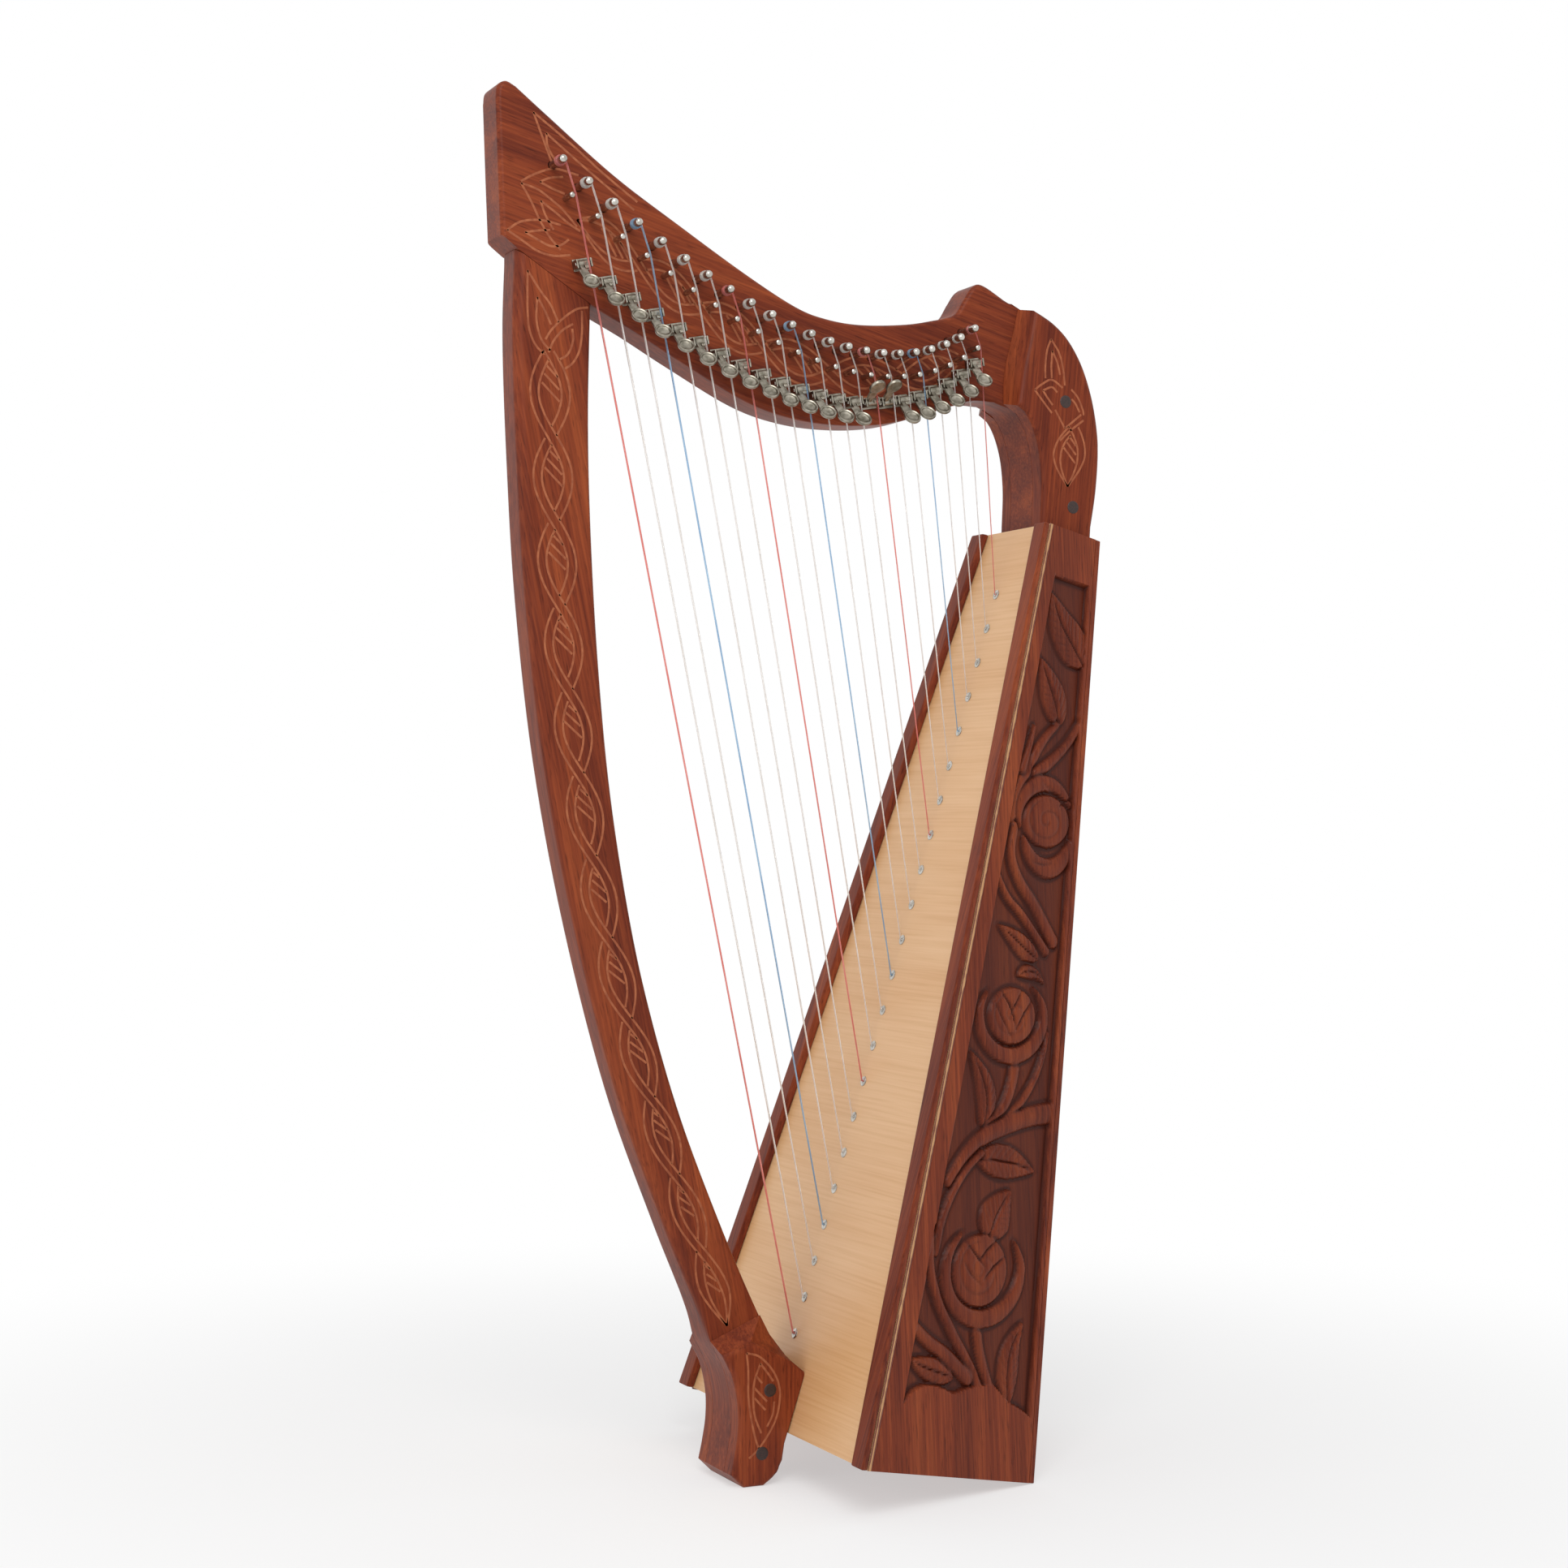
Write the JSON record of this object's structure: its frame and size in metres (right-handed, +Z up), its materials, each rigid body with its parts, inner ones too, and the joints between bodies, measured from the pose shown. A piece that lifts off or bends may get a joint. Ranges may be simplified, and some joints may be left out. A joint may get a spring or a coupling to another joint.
{
  "type": "travel harp",
  "caption": "Small lever harp with a carved tapered sound box, curved pillar, tuning pins and a sharping lever on every string.",
  "frame": {"origin": "middle of the overall box at the level of the floor that the harp stands on", "axes": "+Z up; +X from the pillar to the back of the sound box; the strings and levers are on the -Y side of the neck"},
  "size_m": [0.3984, 0.2628, 0.8246],
  "materials": {
    "stained_wood": "satin",
    "birch_plywood": "satin",
    "strings": "gloss",
    "nickel_silver": "polished"
  },
  "bodies": {
    "frame": {"neck": "stained_wood", "pillar": "stained_wood", "foot_cheek_near": "stained_wood", "foot_cheek_far": "stained_wood", "shoulder_cheek_near": "stained_wood", "shoulder_cheek_far": "stained_wood", "side_panel_near": "stained_wood", "side_panel_far": "stained_wood", "edge_trim_near": "stained_wood", "edge_trim_far": "stained_wood", "base_board": "stained_wood", "top_block": "stained_wood", "back_panel": "stained_wood", "soundboard": "birch_plywood", "strings_on_rib": "strings"},
    "tuning_pin_01": {"tuning_pin_01": "nickel_silver"},
    "tuning_pin_02": {"tuning_pin_02": "nickel_silver"},
    "tuning_pin_03": {"tuning_pin_03": "nickel_silver"},
    "tuning_pin_04": {"tuning_pin_04": "nickel_silver"},
    "tuning_pin_05": {"tuning_pin_05": "nickel_silver"},
    "tuning_pin_06": {"tuning_pin_06": "nickel_silver"},
    "tuning_pin_07": {"tuning_pin_07": "nickel_silver"},
    "tuning_pin_08": {"tuning_pin_08": "nickel_silver"},
    "tuning_pin_09": {"tuning_pin_09": "nickel_silver"},
    "tuning_pin_10": {"tuning_pin_10": "nickel_silver"},
    "tuning_pin_11": {"tuning_pin_11": "nickel_silver"},
    "tuning_pin_12": {"tuning_pin_12": "nickel_silver"},
    "tuning_pin_13": {"tuning_pin_13": "nickel_silver"},
    "tuning_pin_14": {"tuning_pin_14": "nickel_silver"},
    "tuning_pin_15": {"tuning_pin_15": "nickel_silver"},
    "tuning_pin_16": {"tuning_pin_16": "nickel_silver"},
    "tuning_pin_17": {"tuning_pin_17": "nickel_silver"},
    "tuning_pin_18": {"tuning_pin_18": "nickel_silver"},
    "tuning_pin_19": {"tuning_pin_19": "nickel_silver"},
    "tuning_pin_20": {"tuning_pin_20": "nickel_silver"},
    "tuning_pin_21": {"tuning_pin_21": "nickel_silver"},
    "tuning_pin_22": {"tuning_pin_22": "nickel_silver"},
    "lever_01": {"lever_01": "nickel_silver"},
    "lever_02": {"lever_02": "nickel_silver"},
    "lever_03": {"lever_03": "nickel_silver"},
    "lever_04": {"lever_04": "nickel_silver"},
    "lever_05": {"lever_05": "nickel_silver"},
    "lever_06": {"lever_06": "nickel_silver"},
    "lever_07": {"lever_07": "nickel_silver"},
    "lever_08": {"lever_08": "nickel_silver"},
    "lever_09": {"lever_09": "nickel_silver"},
    "lever_10": {"lever_10": "nickel_silver"},
    "lever_11": {"lever_11": "nickel_silver"},
    "lever_12": {"lever_12": "nickel_silver"},
    "lever_13": {"lever_13": "nickel_silver"},
    "lever_14": {"lever_14": "nickel_silver"},
    "lever_15": {"lever_15": "nickel_silver"},
    "lever_16": {"lever_16": "nickel_silver"},
    "lever_17": {"lever_17": "nickel_silver"},
    "lever_18": {"lever_18": "nickel_silver"},
    "lever_19": {"lever_19": "nickel_silver"},
    "lever_20": {"lever_20": "nickel_silver"},
    "lever_21": {"lever_21": "nickel_silver"},
    "lever_22": {"lever_22": "nickel_silver"}
  },
  "joints": [
    {"name": "tuning_pin_01_turn", "type": "hinge", "parent": "frame", "child": "tuning_pin_01", "pos_m": [-0.16529, 0, 0.77815], "axis": [0, 1, 0], "continuous": true},
    {"name": "tuning_pin_02_turn", "type": "hinge", "parent": "frame", "child": "tuning_pin_02", "pos_m": [-0.14931, 0, 0.76693], "axis": [0, 1, 0], "continuous": true},
    {"name": "tuning_pin_03_turn", "type": "hinge", "parent": "frame", "child": "tuning_pin_03", "pos_m": [-0.13362, 0, 0.75624], "axis": [0, 1, 0], "continuous": true},
    {"name": "tuning_pin_04_turn", "type": "hinge", "parent": "frame", "child": "tuning_pin_04", "pos_m": [-0.11824, 0, 0.74611], "axis": [0, 1, 0], "continuous": true},
    {"name": "tuning_pin_05_turn", "type": "hinge", "parent": "frame", "child": "tuning_pin_05", "pos_m": [-0.10315, 0, 0.73659], "axis": [0, 1, 0], "continuous": true},
    {"name": "tuning_pin_06_turn", "type": "hinge", "parent": "frame", "child": "tuning_pin_06", "pos_m": [-0.08838, 0, 0.7277], "axis": [0, 1, 0], "continuous": true},
    {"name": "tuning_pin_07_turn", "type": "hinge", "parent": "frame", "child": "tuning_pin_07", "pos_m": [-0.07391, 0, 0.71949], "axis": [0, 1, 0], "continuous": true},
    {"name": "tuning_pin_08_turn", "type": "hinge", "parent": "frame", "child": "tuning_pin_08", "pos_m": [-0.05975, 0, 0.71198], "axis": [0, 1, 0], "continuous": true},
    {"name": "tuning_pin_09_turn", "type": "hinge", "parent": "frame", "child": "tuning_pin_09", "pos_m": [-0.04591, 0, 0.70522], "axis": [0, 1, 0], "continuous": true},
    {"name": "tuning_pin_10_turn", "type": "hinge", "parent": "frame", "child": "tuning_pin_10", "pos_m": [-0.03237, 0, 0.69924], "axis": [0, 1, 0], "continuous": true},
    {"name": "tuning_pin_11_turn", "type": "hinge", "parent": "frame", "child": "tuning_pin_11", "pos_m": [-0.01915, 0, 0.69408], "axis": [0, 1, 0], "continuous": true},
    {"name": "tuning_pin_12_turn", "type": "hinge", "parent": "frame", "child": "tuning_pin_12", "pos_m": [-0.00623, 0, 0.68978], "axis": [0, 1, 0], "continuous": true},
    {"name": "tuning_pin_13_turn", "type": "hinge", "parent": "frame", "child": "tuning_pin_13", "pos_m": [0.00637, 0, 0.68636], "axis": [0, 1, 0], "continuous": true},
    {"name": "tuning_pin_14_turn", "type": "hinge", "parent": "frame", "child": "tuning_pin_14", "pos_m": [0.01866, 0, 0.68387], "axis": [0, 1, 0], "continuous": true},
    {"name": "tuning_pin_15_turn", "type": "hinge", "parent": "frame", "child": "tuning_pin_15", "pos_m": [0.03064, 0, 0.68235], "axis": [0, 1, 0], "continuous": true},
    {"name": "tuning_pin_16_turn", "type": "hinge", "parent": "frame", "child": "tuning_pin_16", "pos_m": [0.04231, 0, 0.68183], "axis": [0, 1, 0], "continuous": true},
    {"name": "tuning_pin_17_turn", "type": "hinge", "parent": "frame", "child": "tuning_pin_17", "pos_m": [0.05367, 0, 0.68234], "axis": [0, 1, 0], "continuous": true},
    {"name": "tuning_pin_18_turn", "type": "hinge", "parent": "frame", "child": "tuning_pin_18", "pos_m": [0.06473, 0, 0.68392], "axis": [0, 1, 0], "continuous": true},
    {"name": "tuning_pin_19_turn", "type": "hinge", "parent": "frame", "child": "tuning_pin_19", "pos_m": [0.07549, 0, 0.68661], "axis": [0, 1, 0], "continuous": true},
    {"name": "tuning_pin_20_turn", "type": "hinge", "parent": "frame", "child": "tuning_pin_20", "pos_m": [0.08595, 0, 0.69045], "axis": [0, 1, 0], "continuous": true},
    {"name": "tuning_pin_21_turn", "type": "hinge", "parent": "frame", "child": "tuning_pin_21", "pos_m": [0.09612, 0, 0.69547], "axis": [0, 1, 0], "continuous": true},
    {"name": "tuning_pin_22_turn", "type": "hinge", "parent": "frame", "child": "tuning_pin_22", "pos_m": [0.10599, 0, 0.70171], "axis": [0, 1, 0], "continuous": true},
    {"name": "lever_01_swing", "type": "hinge", "parent": "frame", "child": "lever_01", "pos_m": [-0.14625, -0.0187, 0.7221], "axis": [0.9755, 0, 0.2198], "range_deg": [-80, 0]},
    {"name": "lever_02_swing", "type": "hinge", "parent": "frame", "child": "lever_02", "pos_m": [-0.13088, -0.0187, 0.71309], "axis": [0.9761, 0, 0.2173], "range_deg": [-80, 0]},
    {"name": "lever_03_swing", "type": "hinge", "parent": "frame", "child": "lever_03", "pos_m": [-0.1158, -0.0187, 0.70457], "axis": [0.9767, 0, 0.2147], "range_deg": [-80, 0]},
    {"name": "lever_04_swing", "type": "hinge", "parent": "frame", "child": "lever_04", "pos_m": [-0.101, -0.0187, 0.69659], "axis": [0.9773, 0, 0.2121], "range_deg": [-80, 0]},
    {"name": "lever_05_swing", "type": "hinge", "parent": "frame", "child": "lever_05", "pos_m": [-0.08649, -0.0187, 0.68918], "axis": [0.9778, 0, 0.2095], "range_deg": [-80, 0]},
    {"name": "lever_06_swing", "type": "hinge", "parent": "frame", "child": "lever_06", "pos_m": [-0.07227, -0.0187, 0.68237], "axis": [0.9784, 0, 0.2069], "range_deg": [-80, 0]},
    {"name": "lever_07_swing", "type": "hinge", "parent": "frame", "child": "lever_07", "pos_m": [-0.05835, -0.0187, 0.67619], "axis": [0.9789, 0, 0.2043], "range_deg": [-80, 0]},
    {"name": "lever_08_swing", "type": "hinge", "parent": "frame", "child": "lever_08", "pos_m": [-0.04471, -0.0187, 0.67068], "axis": [0.9795, 0, 0.2016], "range_deg": [-80, 0]},
    {"name": "lever_09_swing", "type": "hinge", "parent": "frame", "child": "lever_09", "pos_m": [-0.03138, -0.0187, 0.66587], "axis": [0.98, 0, 0.199], "range_deg": [-80, 0]},
    {"name": "lever_10_swing", "type": "hinge", "parent": "frame", "child": "lever_10", "pos_m": [-0.01833, -0.0187, 0.6618], "axis": [0.9805, 0, 0.1964], "range_deg": [-80, 0]},
    {"name": "lever_11_swing", "type": "hinge", "parent": "frame", "child": "lever_11", "pos_m": [-0.00559, -0.0187, 0.6585], "axis": [0.981, 0, 0.1938], "range_deg": [-80, 0]},
    {"name": "lever_12_swing", "type": "hinge", "parent": "frame", "child": "lever_12", "pos_m": [0.00686, -0.0187, 0.65601], "axis": [0.9815, 0, 0.1912], "range_deg": [-80, 0]},
    {"name": "lever_13_swing", "type": "hinge", "parent": "frame", "child": "lever_13", "pos_m": [0.01901, -0.0187, 0.65436], "axis": [0.9821, 0, 0.1886], "range_deg": [-80, 0]},
    {"name": "lever_14_swing", "type": "hinge", "parent": "frame", "child": "lever_14", "pos_m": [0.03087, -0.0187, 0.65358], "axis": [0.9826, 0, 0.186], "range_deg": [-80, 0]},
    {"name": "lever_15_swing", "type": "hinge", "parent": "frame", "child": "lever_15", "pos_m": [0.04243, -0.0187, 0.65371], "axis": [0.983, 0, 0.1834], "range_deg": [0, 80]},
    {"name": "lever_16_swing", "type": "hinge", "parent": "frame", "child": "lever_16", "pos_m": [0.0537, -0.0187, 0.65478], "axis": [0.9835, 0, 0.1808], "range_deg": [0, 80]},
    {"name": "lever_17_swing", "type": "hinge", "parent": "frame", "child": "lever_17", "pos_m": [0.06468, -0.0187, 0.65683], "axis": [0.984, 0, 0.1781], "range_deg": [-80, 0]},
    {"name": "lever_18_swing", "type": "hinge", "parent": "frame", "child": "lever_18", "pos_m": [0.07537, -0.0187, 0.6599], "axis": [0.9845, 0, 0.1755], "range_deg": [-80, 0]},
    {"name": "lever_19_swing", "type": "hinge", "parent": "frame", "child": "lever_19", "pos_m": [0.08577, -0.0187, 0.664], "axis": [0.9849, 0, 0.1729], "range_deg": [-80, 0]},
    {"name": "lever_20_swing", "type": "hinge", "parent": "frame", "child": "lever_20", "pos_m": [0.09589, -0.0187, 0.66919], "axis": [0.9854, 0, 0.1703], "range_deg": [-80, 0]},
    {"name": "lever_21_swing", "type": "hinge", "parent": "frame", "child": "lever_21", "pos_m": [0.10573, -0.0187, 0.67549], "axis": [0.9858, 0, 0.1677], "range_deg": [-80, 0]},
    {"name": "lever_22_swing", "type": "hinge", "parent": "frame", "child": "lever_22", "pos_m": [0.11529, -0.0187, 0.68294], "axis": [0.9863, 0, 0.165], "range_deg": [-80, 0]}
  ]
}
